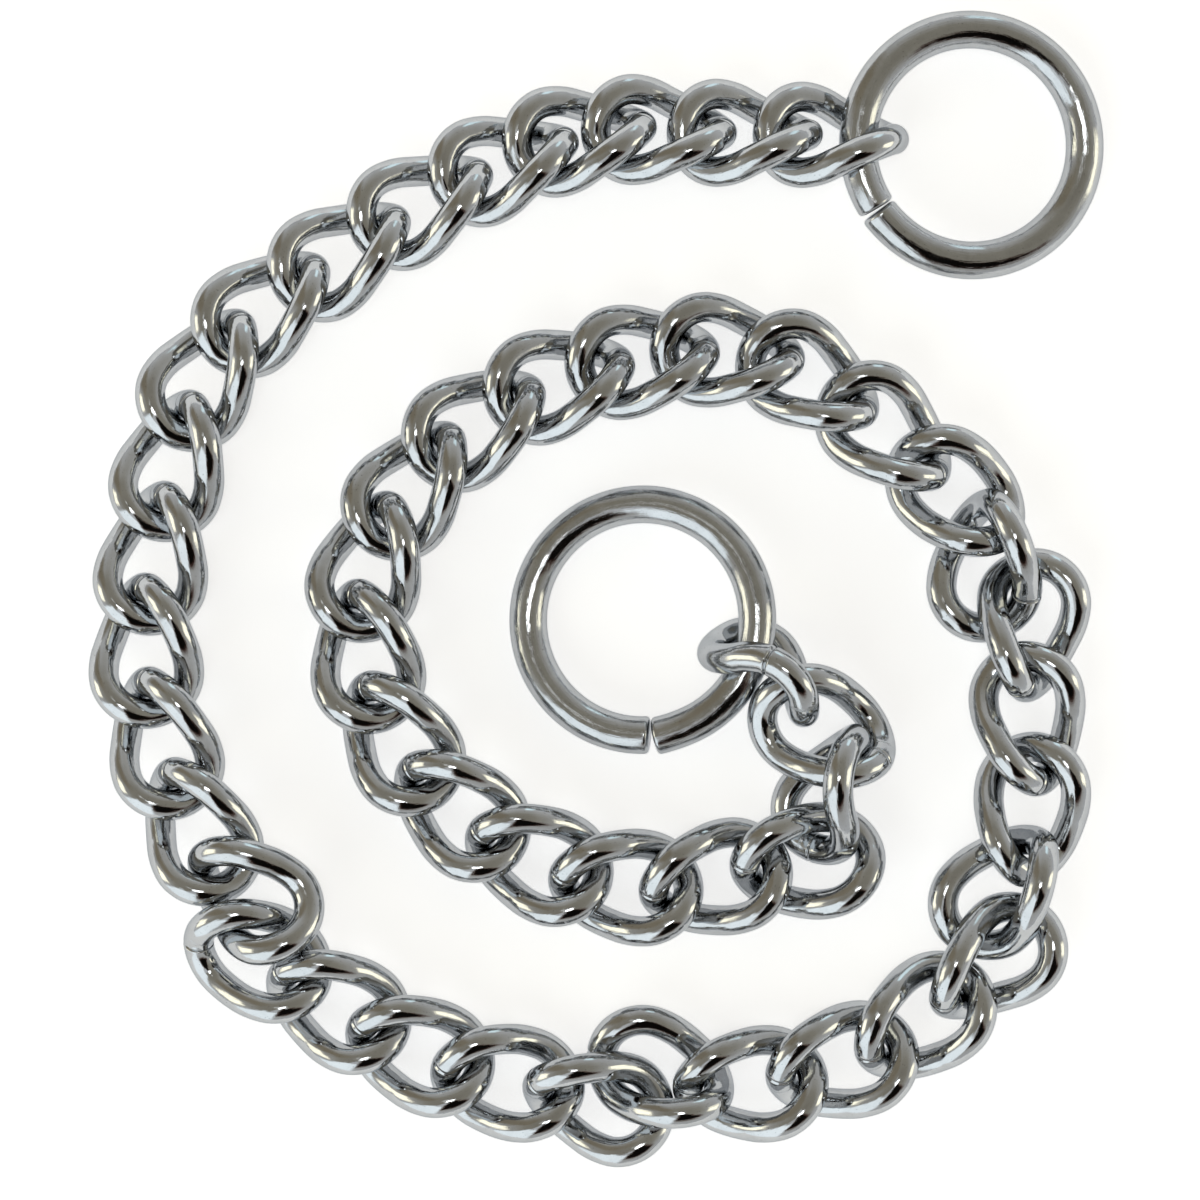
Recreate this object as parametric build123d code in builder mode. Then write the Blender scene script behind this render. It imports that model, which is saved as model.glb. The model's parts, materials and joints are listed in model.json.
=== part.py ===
"""Slip chain of twisted wire links with a round ring at each end, laid flat in a spiral."""
from build123d import *
from math import cos, radians, sin, sqrt
import os

import numpy as np

# Wire and link sizes, in mm and degrees
link_wire = 4.0            # diameter of the link wire
link_inner_length = 12.6   # inside a link, end to end
link_inner_width = 7.5     # inside a link, side to side, at its middle
link_twist = 90.0          # angle from one bow's plane to the other's
arm_lean = 38.0            # slope of an arm where it crosses the middle of the link
bow_share = 3.0            # how far the bow's arc reaches along the arm
ring_wire = 5.0            # diameter of the ring wire
ring_inner = 25.4          # inside diameter of a ring
butt_gap = 0.15            # between the butted ends of a ring
butt_bevel = 0.6           # broken edge round each butted end
wire_gap = 0.12            # least air left between two wires

# Sizes worked out from them
half_length = (link_inner_length + link_wire) / 2
half_width = (link_inner_width + link_wire) / 2
ring_radius = (ring_inner + ring_wire) / 2

# How the pieces are laid on the table, in whole degrees
ring_a_tilt = -8           # the first ring leans on its link
ring_a_butt = 214          # where the first ring's ends meet
ring_b_butt = 290          # where the last ring's ends meet


def laid(heading, roll, pull, tilt=0, span=0.0, lift=0.0):
    """Pose of one piece: headings from +X, span in half links when it is not pulled tight."""
    return dict(heading=heading, roll=roll, pull=pull, tilt=tilt, span=span, lift=lift)


link_lay = [
    laid(177, 44, 177),
    laid(179, 41, 178, span=1.36),
    laid(178, 34, 178, span=1.36),
    laid(190, 31, 185, span=1.26),
    laid(200, 29, 199, span=1.26),
    laid(208, 26, 206, span=1.45),
    laid(212, 26, 212),
    laid(218, 26, 215),
    laid(237, 25, 229, span=1.45),
    laid(253, 24, 250),
    laid(260, 24, 259),
    laid(271, 23, 265),
    laid(284, 24, 280),
    laid(295, 19, 292, tilt=2),
    laid(327, 19, 309, tilt=19),
    laid(335, 5, 276, tilt=-4, span=0.97, lift=1.0),
    laid(330, 14, 328),
    laid(338, 9, 331),
    laid(351, 5, 341),
    laid(342, 23, 347, tilt=-4),
    laid(334, -18, 27, tilt=11, span=1.10, lift=1.5),
    laid(8, 11, 356, span=1.46, lift=0.4),
    laid(14, 12, 17),
    laid(35, 8, 28),
    laid(38, 27, 42, tilt=-3),
    laid(50, -26, 91, tilt=13, span=1.13, lift=1.5),
    laid(86, 11, 68),
    laid(98, 17, 91),
    laid(82, 26, 89, tilt=-10),
    laid(84, -28, 127, tilt=11, span=1.17),
    laid(141, 16, 114),
    laid(139, 24, 139),
    laid(148, 25, 145),
    laid(174, 25, 163, span=1.37),
    laid(188, 25, 185, span=1.35),
    laid(197, 25, 195, span=1.36),
    laid(212, 25, 207),
    laid(233, 26, 224),
    laid(252, 24, 242),
    laid(278, 23, 268),
    laid(300, 20, 291),
    laid(318, 17, 311),
    laid(335, 14, 328),
    laid(353, 12, 344),
    laid(13, 14, 4),
    laid(5, 10, 14, tilt=2, lift=0.6),
    laid(66, -56, 74, tilt=25, span=1.14, lift=0.8),
    laid(155, 11, 94, tilt=5, span=1.07, lift=1.8),
    laid(139, 75, 133, tilt=-42, span=1.34),
]
ring_b_lay = laid(-15, 0, 163, tilt=8, span=2.09)

# How the search for a resting place weighs its six moves:
# back along the pull, across it, up, then heading, tilt and roll
first_moves = [0.2 * link_wire] * 3 + [4.0, 4.0, 6.0]
move_costs = [0.30, 0.15, 0.15, 0.03, 0.03, 0.02]
touch_cost = 20.0          # per mm that a gap is too small
slide_cost = 5.0           # per mm that a link is drawn past its hook
first_backs = [1.05, 1.3]  # how far back the search starts, in wires
least_back = 0.8           # least way back of a tight hook, in wires
finest_move = 0.02         # share of the first moves at which the search ends
least_gain = 1e-6          # least drop in cost that counts as better
arc_points = 14            # points on each arc when gaps are measured
ring_points = 160          # points round a ring when gaps are measured

os.makedirs("parts", exist_ok=True)


def two_arc_joint(start, start_way, end, end_way, share):
    """Point where two arcs meet smoothly between start and end."""
    gap = end - start
    ways = start_way * share + end_way
    square = ways.dot(ways) - (1 + share) ** 2
    middle = -2 * gap.dot(ways)
    root = sqrt(middle ** 2 - 4 * square * gap.dot(gap))
    reach = max((-middle - root) / (2 * square), (-middle + root) / (2 * square))
    first = start + start_way * share * reach
    second = end - end_way * reach
    return first + (second - first) * (share / (1 + share))


def turned_over(point):
    """The same point after half a turn about the link's long axis."""
    return Vector(point.X, -point.Y, -point.Z)


# One link: two arms of four arcs each, joined at the tips of the bows
half_twist = radians(link_twist / 2)
lean = radians(arm_lean)
bow_tip = Vector(-half_length, 0, 0)
bow_way = Vector(0, cos(half_twist), sin(half_twist))
arm_middle = Vector(0, half_width, 0)
arm_way = Vector(cos(lean), 0, -sin(lean))
near_joint = two_arc_joint(bow_tip, bow_way, arm_middle, arm_way, bow_share)
far_joint = Vector(-near_joint.X, near_joint.Y, -near_joint.Z)
far_tip = Vector(half_length, 0, 0)

with BuildPart() as link:
    with BuildLine() as left_arm:
        left_one = TangentArc(bow_tip, near_joint, tangent=bow_way)
        left_two = TangentArc(near_joint, arm_middle, tangent=left_one % 1)
        left_three = TangentArc(arm_middle, far_joint, tangent=left_two % 1)
        left_four = TangentArc(far_joint, far_tip, tangent=left_three % 1)
    with BuildSketch(Plane(bow_tip, z_dir=bow_way)):
        Circle(link_wire / 2)
    sweep(path=left_arm.wires()[0])
    with BuildLine() as right_arm:
        right_one = TangentArc(bow_tip, turned_over(near_joint), tangent=turned_over(bow_way))
        right_two = TangentArc(right_one @ 1, turned_over(arm_middle), tangent=right_one % 1)
        right_three = TangentArc(right_two @ 1, turned_over(far_joint), tangent=right_two % 1)
        right_four = TangentArc(right_three @ 1, far_tip, tangent=right_three % 1)
    with BuildSketch(Plane(bow_tip, z_dir=turned_over(bow_way))):
        Circle(link_wire / 2)
    sweep(path=right_arm.wires()[0])

# One ring: a bent wire whose bevelled ends butt together on +X
butt_angle = butt_gap / ring_radius * 180 / np.pi

with BuildPart() as ring:
    with BuildSketch(Plane.XZ.rotated((0, 0, butt_angle / 2))):
        with Locations((ring_radius, 0)):
            Circle(ring_wire / 2)
    revolve(axis=Axis.Z, revolution_arc=360 - butt_angle)
    butt_edges = ring.edges().filter_by(GeomType.CIRCLE).filter_by(
        lambda edge: abs(edge.radius - ring_wire / 2) < butt_gap
    )
    chamfer(butt_edges, length=butt_bevel)

# Centre-lines of both, for measuring the gaps between wires
left_arcs = [left_one, left_two, left_three, left_four]
right_arcs = [right_one, right_two, right_three, right_four]
steps = np.linspace(0, 1, arc_points + 1)
link_line = np.array([tuple(arc @ step) for arc in left_arcs + right_arcs for step in steps])
ring_turns = np.linspace(0, 2 * np.pi, ring_points, endpoint=False)
ring_line = ring_radius * np.stack([np.cos(ring_turns), np.sin(ring_turns), 0 * ring_turns], 1)


def turn_matrix(heading, tilt, roll):
    """Roll about the piece's own length, then its nose up by tilt, then its heading."""
    h, t, r = radians(heading), radians(tilt), radians(roll)
    about_z = np.array([[cos(h), -sin(h), 0], [sin(h), cos(h), 0], [0, 0, 1]])
    about_y = np.array([[cos(t), 0, -sin(t)], [0, 1, 0], [sin(t), 0, cos(t)]])
    about_x = np.array([[1, 0, 0], [0, cos(r), -sin(r)], [0, sin(r), cos(r)]])
    return about_z @ about_y @ about_x


def apart(first, second):
    """Least distance between two centre-lines."""
    squares = (first ** 2).sum(1)[:, None] + (second ** 2).sum(1)[None] - 2 * first @ second.T
    return sqrt(max(squares.min(), 0))


def settle(earlier, line, radius, pose):
    """Lay one piece after the earlier ones, as close to its pose as the wires allow."""
    last = earlier[-1]
    ahead = np.array([cos(radians(pose["pull"])), sin(radians(pose["pull"])), 0])
    aside = np.array([-ahead[1], ahead[0], 0])
    straight = line @ turn_matrix(pose["heading"], pose["tilt"], pose["roll"]).T
    touch = ((last["line"] - last["centre"]) @ ahead).max() - (straight @ ahead).min()
    hook = last["radius"] + radius
    back = touch - pose["span"] * half_length

    def at(moves):
        turns = (pose["heading"] + moves[3], pose["tilt"] + moves[4], pose["roll"] + moves[5])
        shape = line @ turn_matrix(*turns).T
        centre = last["centre"] + ahead * (touch - moves[0]) + aside * moves[1]
        centre[2] = radius - shape[:, 2].min() + moves[2] + pose["lift"]
        return dict(turns=turns, centre=centre, line=shape + centre, radius=radius)

    def cost(moves):
        piece = at(moves)
        short = 0
        for other in earlier[-3:]:
            gap = apart(other["line"], piece["line"]) - other["radius"] - radius
            short += max(0, wire_gap - gap)
        wanted = back if pose["span"] else 0
        shifts = [moves[0] - wanted] + list(moves[1:])
        total = touch_cost * short + sum(c * abs(s) for c, s in zip(move_costs, shifts))
        if not pose["span"]:
            total += slide_cost * max(0, least_back * hook - moves[0])
        return total

    starts = [back] if pose["span"] else [share * hook for share in first_backs]
    found = []
    for start in starts:
        moves = [start, 0, 0, 0, 0, 0]
        least = cost(moves)
        share = 1.0
        while share > finest_move:
            improved = False
            for index, first_move in enumerate(first_moves):
                for way in (1, -1):
                    trial = list(moves)
                    trial[index] += way * first_move * share
                    trial_cost = cost(trial)
                    if trial[2] >= 0 and trial_cost < least - least_gain:
                        moves, least, improved = trial, trial_cost, True
                        break
            if not improved:
                share /= 2
        found.append((least, moves))
    return at(min(found, key=lambda item: item[0])[1])


# The chain, piece by piece: ring, links, ring
flat_ring = ring_line @ turn_matrix(0, ring_a_tilt, 0).T
first_centre = np.array([0, 0, ring_wire / 2 - flat_ring[:, 2].min()])
first_turns = (0, ring_a_tilt, 0)
first_line = flat_ring + first_centre
pieces = [dict(turns=first_turns, centre=first_centre, line=first_line, radius=ring_wire / 2)]
for link_pose in link_lay:
    pieces.append(settle(pieces, link_line, link_wire / 2, link_pose))
pieces.append(settle(pieces, ring_line, ring_wire / 2, ring_b_lay))

# Origin under the middle of the laid chain, on the table
lows = np.array([(piece["line"] - piece["radius"]).min(0) for piece in pieces])
highs = np.array([(piece["line"] + piece["radius"]).max(0) for piece in pieces])
middle = (lows.min(0) + highs.max(0)) / 2
origin = np.array([middle[0], middle[1], lows.min(0)[2]])
for piece in pieces:
    piece["centre"] = piece["centre"] - origin
    piece["line"] = piece["line"] - origin


def place(piece, butt=0.0):
    """Location of a piece, its own shape first turned by the butt angle."""
    heading, tilt, roll = piece["turns"]
    stand = Pos(*piece["centre"]) * Rot(0, 0, heading) * Rot(0, -tilt, 0) * Rot(roll, 0, 0)
    return stand * Rot(0, 0, butt)


with BuildPart() as ring_a:
    with Locations(place(pieces[0], ring_a_butt)):
        add(ring.part)
ring_a.part.label = "ring_a"
export_step(ring_a.part, "parts/ring_a.step")

for number, piece in enumerate(pieces[1:-1], start=1):
    with BuildPart() as laid_link:
        with Locations(place(piece)):
            add(link.part)
    laid_link.part.label = f"link_{number:02d}"
    export_step(laid_link.part, f"parts/link_{number:02d}.step")

with BuildPart() as ring_b:
    with Locations(place(pieces[-1], ring_b_butt)):
        add(ring.part)
ring_b.part.label = "ring_b"
export_step(ring_b.part, "parts/ring_b.step")
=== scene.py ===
"""Looks of the slip chain: plated wire links and rings, studio light, floor and camera."""
import json
from math import atan2, cos, pi, radians, sin, sqrt

import bpy
import numpy as np
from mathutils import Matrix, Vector

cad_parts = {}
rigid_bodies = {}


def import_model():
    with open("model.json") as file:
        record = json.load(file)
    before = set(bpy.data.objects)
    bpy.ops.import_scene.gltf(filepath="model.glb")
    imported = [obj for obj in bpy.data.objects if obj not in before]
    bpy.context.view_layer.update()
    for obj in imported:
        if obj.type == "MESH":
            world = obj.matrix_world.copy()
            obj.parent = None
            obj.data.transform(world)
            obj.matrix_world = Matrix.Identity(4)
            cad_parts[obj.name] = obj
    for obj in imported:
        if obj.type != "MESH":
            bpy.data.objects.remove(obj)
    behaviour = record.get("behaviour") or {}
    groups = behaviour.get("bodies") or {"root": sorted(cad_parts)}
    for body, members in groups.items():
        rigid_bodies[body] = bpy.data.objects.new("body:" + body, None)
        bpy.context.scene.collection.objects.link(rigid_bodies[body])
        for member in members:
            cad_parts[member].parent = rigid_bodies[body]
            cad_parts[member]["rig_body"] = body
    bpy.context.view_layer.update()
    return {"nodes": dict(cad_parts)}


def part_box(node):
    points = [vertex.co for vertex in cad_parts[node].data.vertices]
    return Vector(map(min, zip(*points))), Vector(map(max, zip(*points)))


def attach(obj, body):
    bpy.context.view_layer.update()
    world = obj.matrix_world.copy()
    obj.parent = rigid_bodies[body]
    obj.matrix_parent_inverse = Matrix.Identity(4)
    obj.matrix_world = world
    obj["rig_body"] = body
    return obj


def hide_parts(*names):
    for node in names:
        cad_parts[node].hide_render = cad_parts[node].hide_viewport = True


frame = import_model()

MM = 0.001

# Sizes of the wire work, in mm and degrees, as the CAD model has them
LINK_WIRE = 4.0
HALF_LENGTH = 8.3
HALF_WIDTH = 5.75
LINK_TWIST = 90.0
ARM_LEAN = 38.0
BOW_SHARE = 3.0
RING_WIRE = 5.0
RING_RADIUS = 15.2
BUTT_GAP = 0.15            # between the two ends of a ring
BUTT_BEVEL = 0.6           # rounding of each end
RING_BUTTS = {"ring_a": 214, "ring_b": 275}   # world angles where the ends of a ring meet
BUTT_SLANTS = {"ring_a": 0.15, "ring_b": 0.45}   # how far each end is cut back outside
BUTT_OFFSETS = {"ring_a": 0.10, "ring_b": 0.25}   # how far the first end stands further out
BUTT_REACH = 5.0           # length of wire over which slant and offset fade out

# Fineness of the meshes
LINK_SIDES = 36
ARC_STEPS = 20
RING_SIDES = 56
RING_STEPS = 300
END_STEPS = 6              # rings of points on each rounded end

# Butt welds of the links, in mm
SEAM_PLACE = 1.6           # distance of the seam from the tip of the bow, along the wire
SEAM_GROOVE = 0.12         # depth of the line left between the two ends
SEAM_GROOVE_REACH = 0.16
SEAM_UPSET = 0.05          # metal pushed up beside that line
SEAM_UPSET_REACH = 0.75
# Places of the seams that show as an open line
OPEN_SEAMS = {"link_16": -1.9, "link_21": 1.3, "link_30": 9.0, "link_49": 7.3}
OPEN_SEAM_DEPTH = 0.38
SEAM_FINENESS = 6          # how many times closer the points stand beside a seam
SEAM_FINE_REACH = 0.45

# Chrome: scales per metre, or per mm for the drawn lines, and heights in mm
CLOUD_SCALE = 420.0
CLOUD_PLACES = (0.30, 0.62)      # noise values of the darkest and the full tint
CLOUD_DARKEST = 0.90
HAZE_PLACES = (0.35, 0.70)       # noise values of the clearest and the haziest plating
SPECK_SCALE = 5200.0
SPECK_HEIGHT = 0.004
PIT_PLACES = (0.26, 0.33)        # noise values of a pit and of plain plating
PIT_TONE = (0.45, 0.45, 0.46)
DRAWN_SCALE = 5.0
DRAWN_STRETCH = 0.12             # drawn lines run along the wire
WAVE_SCALE = 300.0
EDGE_TINT = (0.62, 0.64, 0.66, 1.0)

# Floor and camera, in metres, and the lens in mm
FLOOR_SIZE = 3.0
FLOOR_TONE = (0.85, 0.85, 0.85, 1.0)
FLOOR_GLOW = 0.60
FLOOR_ROUGHNESS = 0.9
FRAME_WIDTH = 0.1579             # width of the view at the height of the wire
LOOK_AT = Vector((0.0004, -0.0015, 0.005))
LENS = 180.0

# Light from the sky at shares of the way from straight up to straight down
SKY_TONES = [
    (0.0, (0.29, 0.265, 0.215)),
    (0.20, (0.36, 0.335, 0.275)),
    (0.36, (0.56, 0.55, 0.52)),
    (0.50, (0.70, 0.71, 0.71)),
]
SEEN_TONE = (0.9, 0.9, 0.9)      # the surroundings as the camera sees them

# Panels of the studio: middle (azimuth, angle from straight up), half sizes, edge, colour
PANELS = [
    ((140, 60), (18, 26), 10, (0.30, 0.26, 0.19)),      # brown wall
    ((240, 20), (17, 16), 5, (0.72, 0.73, 0.73)),       # top of the window
    ((232, 62), (26, 30), 4, (1.45, 1.55, 1.58)),       # cool window
    ((293, 33), (34, 27), 6, (0.085, 0.038, 0.026)),    # dark stand, its brown edge
    ((293, 32), (29, 23), 3, (0.006, 0.005, 0.004)),    # dark stand
    ((182, 72), (13, 12), 4, (2.4, 2.25, 1.75)),        # warm lamp, left
    ((357, 74), (11, 13), 4, (2.4, 2.25, 1.75)),        # warm lamp, right
    ((73, 81), (7, 9), 3, (1.2, 1.45, 1.5)),            # small cool lamp
    ((120, 5), (27, 4), 2, (0.02, 0.02, 0.02)),         # dark lens
    ((137, 14), (16, 3), 3, (1.1, 1.1, 1.05)),          # strip beside the lens
]

# Lamp straight overhead: it is wider across the view than up and down
LAMP_TONE = (7.0, 7.1, 7.0)
LAMP_NARROWING = (8.0, 11.0)
LAMP_EDGE = (0.7, 1.2)

# Sockets of Blender's Mix node when it mixes colours
MIX_FACTOR, MIX_BELOW, MIX_ABOVE, MIX_RESULT = 0, 6, 7, 2


# ---------------------------------------------------------------- wire shapes

def two_arc_joint(start, start_way, end, end_way, share):
    """Point where two arcs meet smoothly between start and end."""
    gap = end - start
    ways = start_way * share + end_way
    square = ways @ ways - (1 + share) ** 2
    middle = -2 * gap @ ways
    root = sqrt(middle ** 2 - 4 * square * (gap @ gap))
    reach = max((-middle - root) / (2 * square), (-middle + root) / (2 * square))
    first = start + start_way * share * reach
    second = end - end_way * reach
    return first + (second - first) * (share / (1 + share))


def arc_points(start, way, end, steps):
    """Points of the arc that leaves start along way and ends at end, and its last direction."""
    chord = end - start
    aside = chord - (chord @ way) * way
    aside_size = np.linalg.norm(aside)
    aside = aside / aside_size
    turn = 2 * atan2(aside_size, chord @ way)
    radius = np.linalg.norm(chord) / (2 * sin(turn / 2))
    angles = turn * np.arange(steps) / steps
    points = start + radius * (
        np.sin(angles)[:, None] * way + (1 - np.cos(angles))[:, None] * aside
    )
    return points, cos(turn) * way + sin(turn) * aside


def link_centre_line():
    """Closed centre-line of one link, in mm, from the tip of one bow round both arms."""
    half_twist = radians(LINK_TWIST / 2)
    lean = radians(ARM_LEAN)
    tip = np.array([-HALF_LENGTH, 0, 0])
    tip_way = np.array([0, cos(half_twist), sin(half_twist)])
    middle = np.array([0, HALF_WIDTH, 0])
    middle_way = np.array([cos(lean), 0, -sin(lean)])
    near = two_arc_joint(tip, tip_way, middle, middle_way, BOW_SHARE)
    far = near * [-1, 1, -1]
    arm = []
    way = tip_way
    for start, end in ((tip, near), (near, middle), (middle, far), (far, -tip)):
        points, way = arc_points(start, way, end, ARC_STEPS * SEAM_FINENESS)
        arm.append(points)
    arm = np.concatenate(arm)
    return np.concatenate([arm, arm * [-1, -1, 1]])


def unit(rows):
    """Rows scaled to length 1."""
    return rows / np.linalg.norm(rows, axis=-1, keepdims=True)


def wire_frames(line, ways, closed):
    """Two cross directions at each point, carried along the line without spin."""
    cross = np.empty_like(line)
    start = np.cross(ways[0], [0.0, 0.0, 1.0])
    cross[0] = start / np.linalg.norm(start)
    for index in range(1, len(line)):
        kept = cross[index - 1] - (cross[index - 1] @ ways[index]) * ways[index]
        cross[index] = kept / np.linalg.norm(kept)
    other = np.cross(ways, cross)
    if closed:
        kept = cross[-1] - (cross[-1] @ ways[0]) * ways[0]
        spin = atan2(kept @ other[0], kept @ cross[0])
        turns = -spin * np.arange(len(line)) / len(line)
        cosine, sine = np.cos(turns)[:, None], np.sin(turns)[:, None]
        cross, other = cross * cosine + other * sine, other * cosine - cross * sine
    return cross, other


def new_mesh(name, points, faces, along):
    """Smooth mesh object whose 'wire' attribute holds length and place round the wire."""
    mesh = bpy.data.meshes.new(name)
    mesh.from_pydata(points.tolist(), [], faces)
    attribute = mesh.attributes.new("wire", "FLOAT_VECTOR", "POINT")
    attribute.data.foreach_set("vector", np.ascontiguousarray(along, np.float32).ravel())
    mesh.polygons.foreach_set("use_smooth", [True] * len(faces))
    mesh.validate()
    piece = bpy.data.objects.new(name, mesh)
    bpy.context.scene.collection.objects.link(piece)
    return piece


def band_faces(rings, sides, closed):
    """Quads between neighbouring rings of points."""
    faces = []
    for ring in range(rings if closed else rings - 1):
        here, following = ring * sides, (ring + 1) % rings * sides
        for side in range(sides):
            after = (side + 1) % sides
            faces.append((here + side, here + after, following + after, following + side))
    return faces


# ---------------------------------------------------------------- poses from the CAD frame

def surface_moments(node):
    """Middle of a node's surface, and the spread of that surface about it, in metres."""
    mesh = frame["nodes"][node].data
    mesh.calc_loop_triangles()
    points = np.empty(len(mesh.vertices) * 3, np.float32)
    mesh.vertices.foreach_get("co", points)
    points = points.reshape(-1, 3).astype(float)
    corners = np.empty(len(mesh.loop_triangles) * 3, np.int32)
    mesh.loop_triangles.foreach_get("vertices", corners)
    a, b, c = (points[corners.reshape(-1, 3)[:, corner]] for corner in range(3))
    areas = np.linalg.norm(np.cross(b - a, c - a), axis=1) / 2
    middles = (a + b + c) / 3
    centre = (middles * areas[:, None]).sum(0) / areas.sum()
    spread = np.zeros((3, 3))
    for first, weight in ((a, 1), (b, 1), (c, 1), (middles, 9)):
        offset = first - centre
        spread += weight / 12 * (offset * areas[:, None]).T @ offset
    return centre, spread / areas.sum()


def middle_of(node):
    """Middle of a CAD node's box, in metres."""
    low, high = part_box(node)
    return (np.array(low) + np.array(high)) / 2


def link_pose(node, before, after):
    """Centre and axes of a link: along it towards the last ring, across it, through it."""
    centre, spread = surface_moments(node)
    axes = np.linalg.eigh(spread)[1]
    along, across = axes[:, 2], axes[:, 1]
    along = along * np.sign(along @ (middle_of(after) - middle_of(before)))
    across = across * np.sign(across @ [0, 0, 1])
    through = np.cross(along, across)
    return centre, np.stack([along, across, through], axis=1)


def ring_pose(node):
    """Centre and axes of a ring: towards its butt, across, and its own axis upwards."""
    axis = np.linalg.eigh(surface_moments(node)[1])[1][:, 0]
    axis = axis * np.sign(axis[2])
    angle = radians(RING_BUTTS[node])
    towards = np.array([cos(angle), sin(angle), 0])
    towards = unit(towards - (towards @ axis) * axis)
    return middle_of(node), np.stack([towards, np.cross(axis, towards), axis], axis=1)


# ---------------------------------------------------------------- chrome

def node_of(tree, kind, **inputs):
    """New shader node; its inputs go by name, or as i0, i1 by number, and take values or links."""
    node = tree.nodes.new(kind)
    for name, value in inputs.items():
        key = int(name[1:]) if name[1:].isdigit() else name.replace("_", " ")
        socket = node.inputs[key]
        if isinstance(value, bpy.types.NodeSocket):
            tree.links.new(value, socket)
        else:
            socket.default_value = value
    return node


def math_node(tree, operation, *values):
    """Result of one sum on numbers or links."""
    node = node_of(tree, "ShaderNodeMath", **{f"i{index}": v for index, v in enumerate(values)})
    node.operation = operation
    return node.outputs[0]


def ramp(tree, factor, *stops):
    """Colour ramp through (place, colour) stops."""
    node = node_of(tree, "ShaderNodeValToRGB", Fac=factor)
    elements = node.color_ramp.elements
    while len(elements) < len(stops):
        elements.new(0.5)
    for element, (place, colour) in zip(elements, stops):
        element.position = place
        element.color = (*colour, 1.0)
    return node.outputs["Color"]


def range_node(tree, value, from_range, to_range, smooth=False):
    """Moves a value from one range to another."""
    node = node_of(tree, "ShaderNodeMapRange", Value=value)
    node.interpolation_type = "SMOOTHSTEP" if smooth else "LINEAR"
    for side, low_and_high in (("From", from_range), ("To", to_range)):
        node.inputs[side + " Min"].default_value = low_and_high[0]
        node.inputs[side + " Max"].default_value = low_and_high[1]
    return node.outputs[0]


def over(tree, below, colour, mask):
    """Colour laid over what is below it, as far as the mask lets it."""
    node = tree.nodes.new("ShaderNodeMix")
    node.data_type = "RGBA"
    tree.links.new(mask, node.inputs[MIX_FACTOR])
    tree.links.new(below, node.inputs[MIX_BELOW])
    node.inputs[MIX_ABOVE].default_value = (*colour, 1.0)
    return node.outputs[MIX_RESULT]


def times(tree, first, second):
    """Two colours multiplied."""
    node = tree.nodes.new("ShaderNodeMix")
    node.data_type = "RGBA"
    node.blend_type = "MULTIPLY"
    node.inputs[MIX_FACTOR].default_value = 1.0
    tree.links.new(first, node.inputs[MIX_BELOW])
    tree.links.new(second, node.inputs[MIX_ABOVE])
    return node.outputs[MIX_RESULT]


def noise(tree, vector, scale, detail):
    """Cloudy values from 0 to 1."""
    node = node_of(tree, "ShaderNodeTexNoise", Vector=vector, Scale=scale, Detail=detail)
    return node.outputs["Fac"]


def chrome(name, tint, haze, wave_height, draw_height):
    """Bright plated steel: soft waves, drawn lines along the wire, pits and handling haze."""
    material = bpy.data.materials.new(name)
    material.use_nodes = True
    tree = material.node_tree
    shader = tree.nodes["Principled BSDF"]
    place = tree.nodes.new("ShaderNodeTexCoord").outputs["Object"]
    wire = tree.nodes.new("ShaderNodeAttribute")
    wire.attribute_name = "wire"
    stretch = node_of(
        tree, "ShaderNodeVectorMath", i0=wire.outputs["Vector"], i1=(DRAWN_STRETCH, 1.0, 1.0)
    )
    stretch.operation = "MULTIPLY"

    cloud_node = node_of(
        tree, "ShaderNodeTexNoise", Vector=place, Scale=CLOUD_SCALE, Detail=4.0, Roughness=0.6
    )
    clouds = cloud_node.outputs["Fac"]
    specks = noise(tree, place, SPECK_SCALE, 2.0)
    drawn = noise(tree, stretch.outputs[0], DRAWN_SCALE, 3.0)
    waves = noise(tree, place, WAVE_SCALE, 1.0)

    dark = tuple(CLOUD_DARKEST * part for part in tint)
    colour = ramp(tree, clouds, (CLOUD_PLACES[0], dark), (CLOUD_PLACES[1], tint))
    pits = ramp(tree, specks, (PIT_PLACES[0], PIT_TONE), (PIT_PLACES[1], (1.0, 1.0, 1.0)))
    tree.links.new(times(tree, colour, pits), shader.inputs["Base Color"])
    tree.links.new(range_node(tree, clouds, HAZE_PLACES, haze), shader.inputs["Roughness"])

    heights = ((waves, wave_height), (drawn, draw_height), (specks, SPECK_HEIGHT))
    bumps = [
        node_of(tree, "ShaderNodeBump", Height=height, Distance=size * MM)
        for height, size in heights
    ]
    for under, upper in zip(bumps, bumps[1:]):
        tree.links.new(under.outputs[0], upper.inputs["Normal"])
    tree.links.new(bumps[-1].outputs[0], shader.inputs["Normal"])
    shader.inputs["Metallic"].default_value = 1.0
    shader.inputs["Specular Tint"].default_value = EDGE_TINT
    return material


link_chrome = chrome("link_chrome", (0.50, 0.515, 0.53), (0.03, 0.09), 0.07, 0.014)
ring_chrome = chrome("ring_chrome", (0.48, 0.495, 0.51), (0.04, 0.13), 0.07, 0.024)


# ---------------------------------------------------------------- the pieces

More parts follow.
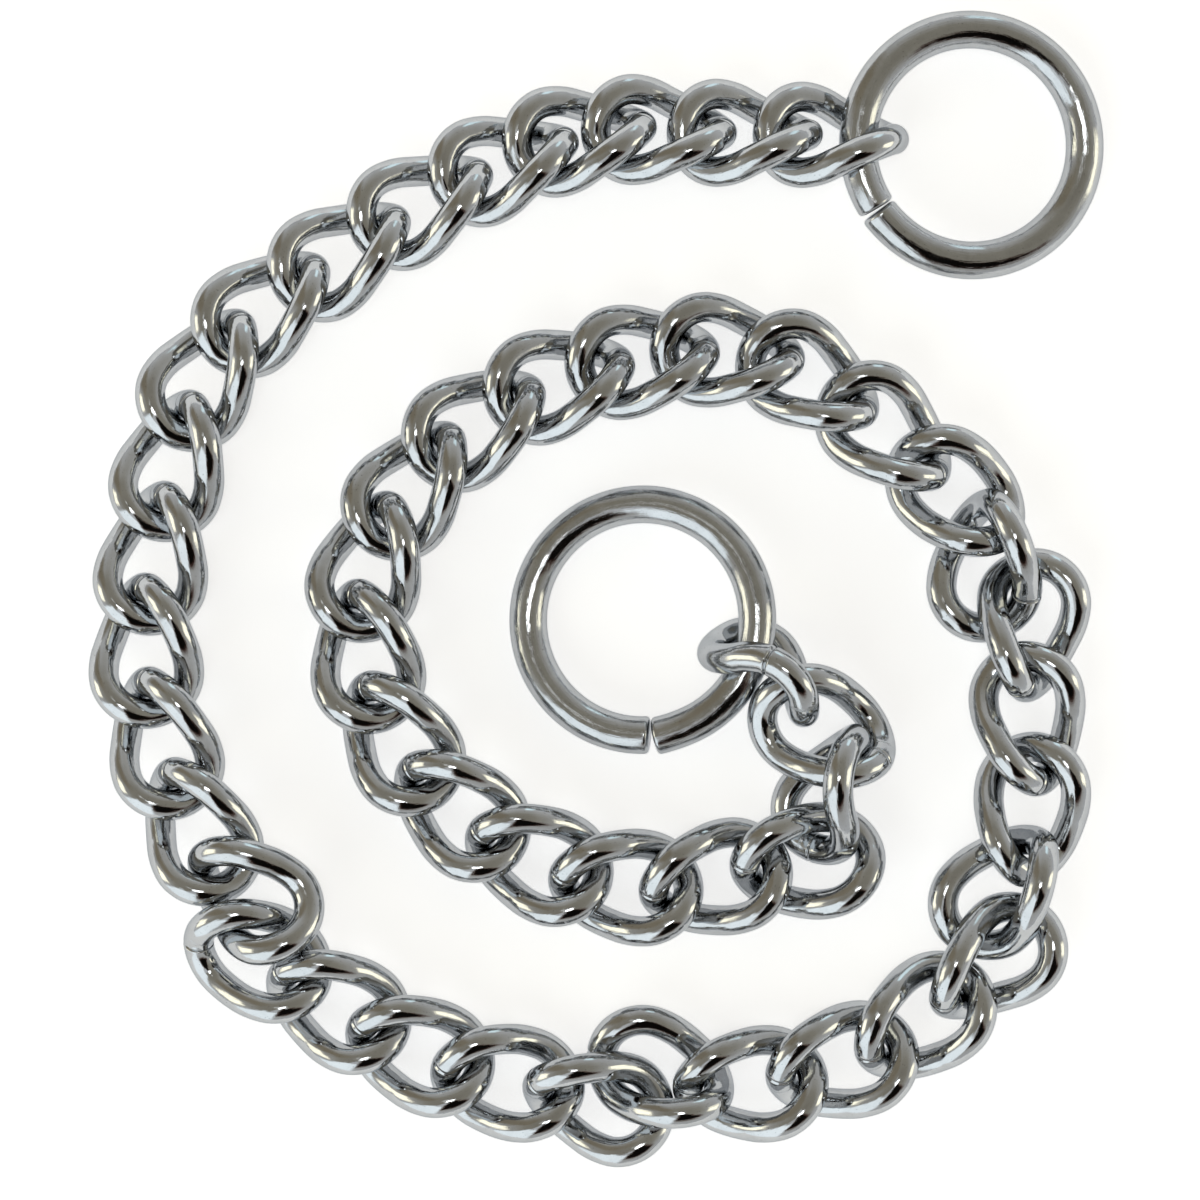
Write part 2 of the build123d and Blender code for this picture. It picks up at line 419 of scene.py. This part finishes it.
def link_points(seam_place, seam_depth):
    """Points of one link's surface in its own frame, in mm, their faces and wire places."""
    line = link_centre_line()
    ways = unit(np.roll(line, -1, 0) - np.roll(line, 1, 0))
    cross, other = wire_frames(line, ways, closed=True)
    steps = np.linalg.norm(np.roll(line, -1, 0) - line, axis=1)
    lengths = np.concatenate([[0], np.cumsum(steps)[:-1]])
    total = steps.sum()
    from_seam = (lengths - seam_place + total / 2) % total - total / 2
    kept = (np.arange(len(line)) % SEAM_FINENESS == 0) | (np.abs(from_seam) < SEAM_FINE_REACH)
    line, cross, other, lengths, from_seam = (
        rows[kept] for rows in (line, cross, other, lengths, from_seam)
    )
    swell = SEAM_UPSET * np.exp(-(from_seam / SEAM_UPSET_REACH) ** 2)
    groove = seam_depth * np.exp(-(from_seam / SEAM_GROOVE_REACH) ** 2)
    radius = LINK_WIRE / 2 + swell - groove
    angles = np.linspace(0, 2 * pi, LINK_SIDES, endpoint=False)
    outward = (
        np.cos(angles)[None, :, None] * cross[:, None] + np.sin(angles)[None, :, None] * other[:, None]
    )
    points = line[:, None] + radius[:, None, None] * outward
    along = np.empty(points.shape)
    along[..., 0] = lengths[:, None]
    along[..., 1] = np.cos(angles)[None] * LINK_WIRE / 2
    along[..., 2] = np.sin(angles)[None] * LINK_WIRE / 2
    faces = band_faces(len(line), LINK_SIDES, closed=True)
    return points.reshape(-1, 3), faces, along.reshape(-1, 3)


def place_piece(node, shape, pose, material):
    """Put one wire shape where the CAD node is, in its place."""
    points, faces, along = shape
    centre, axes = pose
    piece = new_mesh(node + "_wire", points * MM @ axes.T + centre, faces, along)
    piece.data.materials.append(material)
    body = frame["nodes"][node]["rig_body"]
    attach(piece, body)
    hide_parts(node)
    return piece


def ring_points(slant, offset):
    """One ring: a bent wire whose rounded ends stand a hair apart on +X."""
    bevel_turn = BUTT_BEVEL / RING_RADIUS
    first = BUTT_GAP / 2 / RING_RADIUS + bevel_turn
    shares = np.arange(1, END_STEPS + 1) / END_STEPS
    drops = BUTT_BEVEL * (1 - np.sqrt(1 - shares ** 2))
    starts = first - bevel_turn * shares[::-1]
    turns = np.concatenate(
        [starts, np.linspace(first, 2 * pi - first, RING_STEPS), 2 * pi - starts[::-1]]
    )[:, None]
    radii = RING_WIRE / 2 - np.concatenate([drops[::-1], np.zeros(RING_STEPS), drops])[:, None]
    angles = np.linspace(0, 2 * pi, RING_SIDES, endpoint=False)[None]
    from_first = np.clip(1 - turns * RING_RADIUS / BUTT_REACH, 0, 1) ** 2
    from_last = np.clip(1 - (2 * pi - turns) * RING_RADIUS / BUTT_REACH, 0, 1) ** 2
    outside = (1 + np.cos(angles)) / 2
    cut_turns = turns + slant / RING_RADIUS * outside * (from_first - from_last)
    reach = RING_RADIUS + offset * from_first + radii * np.cos(angles)
    points = np.stack(
        [reach * np.cos(cut_turns), reach * np.sin(cut_turns), -radii * np.sin(angles)], axis=-1
    )
    along = np.empty(points.shape)
    along[..., 0] = turns * RING_RADIUS
    along[..., 1] = np.cos(angles) * RING_WIRE / 2
    along[..., 2] = np.sin(angles) * RING_WIRE / 2
    rings = len(turns)
    faces = band_faces(rings, RING_SIDES, closed=False)
    faces.append(tuple(reversed(range(RING_SIDES))))
    faces.append(tuple(range((rings - 1) * RING_SIDES, rings * RING_SIDES)))
    return points.reshape(-1, 3), faces, along.reshape(-1, 3)


chain = ["ring_a"] + sorted(name for name in frame["nodes"] if name.startswith("link_")) + ["ring_b"]
plain_link = link_points(SEAM_PLACE, SEAM_GROOVE)
for before, node, after in zip(chain, chain[1:], chain[2:]):
    shape = plain_link
    if node in OPEN_SEAMS:
        shape = link_points(OPEN_SEAMS[node], OPEN_SEAM_DEPTH)
    place_piece(node, shape, link_pose(node, before, after), link_chrome)
for node in ("ring_a", "ring_b"):
    shape = ring_points(BUTT_SLANTS[node], BUTT_OFFSETS[node])
    place_piece(node, shape, ring_pose(node), ring_chrome)


# ---------------------------------------------------------------- floor, light and camera

def make_floor():
    """White paper that glows a little, as on a light table."""
    half = FLOOR_SIZE / 2
    mesh = bpy.data.meshes.new("floor")
    corners = [(-half, -half, 0), (half, -half, 0), (half, half, 0), (-half, half, 0)]
    mesh.from_pydata(corners, [], [(0, 1, 2, 3)])
    floor = bpy.data.objects.new("floor", mesh)
    bpy.context.scene.collection.objects.link(floor)
    material = bpy.data.materials.new("floor_paper")
    material.use_nodes = True
    shader = material.node_tree.nodes["Principled BSDF"]
    shader.inputs["Base Color"].default_value = FLOOR_TONE
    shader.inputs["Roughness"].default_value = FLOOR_ROUGHNESS
    shader.inputs["Specular IOR Level"].default_value = 0.0
    shader.inputs["Emission Color"].default_value = (1, 1, 1, 1)
    shader.inputs["Emission Strength"].default_value = FLOOR_GLOW
    mesh.materials.append(material)


def panel_mask(tree, azimuth, polar, middle, half_size, edge):
    """1 inside a panel of the sky, 0 outside: angles in degrees, with a soft edge."""
    around = math_node(tree, "SUBTRACT", azimuth, radians(middle[0]))
    around = math_node(tree, "WRAP", around, pi, -pi)
    around = math_node(tree, "ABSOLUTE", around)
    down = math_node(tree, "ABSOLUTE", math_node(tree, "SUBTRACT", polar, radians(middle[1])))
    masks = []
    for offset, size in ((around, half_size[0]), (down, half_size[1])):
        reach = (radians(max(size - edge, 0)), radians(size + edge))
        masks.append(range_node(tree, offset, reach, (1.0, 0.0), smooth=True))
    return math_node(tree, "MULTIPLY", *masks)


def lamp_mask(tree, east, north, up):
    """1 in the lamp straight overhead, 0 outside it."""
    across = math_node(tree, "MULTIPLY", east, LAMP_NARROWING[0])
    along = math_node(tree, "MULTIPLY", north, LAMP_NARROWING[1])
    flat = node_of(tree, "ShaderNodeCombineXYZ", X=across, Y=along)
    reach = node_of(tree, "ShaderNodeVectorMath", i0=flat.outputs[0])
    reach.operation = "LENGTH"
    mask = range_node(tree, reach.outputs["Value"], LAMP_EDGE, (1.0, 0.0), smooth=True)
    return math_node(tree, "MULTIPLY", mask, math_node(tree, "GREATER_THAN", up, 0.0))


def make_sky():
    """Soft studio light: a pale tent with panels, a dark stand and a lamp overhead."""
    world = bpy.data.worlds.new("studio")
    bpy.context.scene.world = world
    world.use_nodes = True
    sky = world.node_tree
    direction = sky.nodes.new("ShaderNodeTexCoord").outputs["Generated"]
    east, north, up = node_of(sky, "ShaderNodeSeparateXYZ", Vector=direction).outputs
    polar = math_node(sky, "ARCCOSINE", up)
    azimuth = math_node(sky, "ARCTAN2", north, east)
    light = ramp(sky, math_node(sky, "DIVIDE", polar, pi), *SKY_TONES)
    for middle, half_size, edge, colour in PANELS:
        mask = panel_mask(sky, azimuth, polar, middle, half_size, edge)
        light = over(sky, light, colour, mask)
    light = over(sky, light, LAMP_TONE, lamp_mask(sky, east, north, up))
    seen = sky.nodes.new("ShaderNodeLightPath").outputs["Is Camera Ray"]
    light = over(sky, light, SEEN_TONE, seen)
    sky.links.new(light, sky.nodes["Background"].inputs["Color"])


def make_camera():
    """Long lens that looks straight down on the laid chain."""
    data = bpy.data.cameras.new("camera")
    data.lens = LENS
    distance = FRAME_WIDTH * LENS / data.sensor_width
    camera = bpy.data.objects.new("camera", data)
    camera.location = LOOK_AT + Vector((0, 0, distance))
    bpy.context.scene.collection.objects.link(camera)
    bpy.context.scene.camera = camera
    bpy.context.scene.view_settings.view_transform = "Standard"


make_floor()
make_sky()
make_camera()
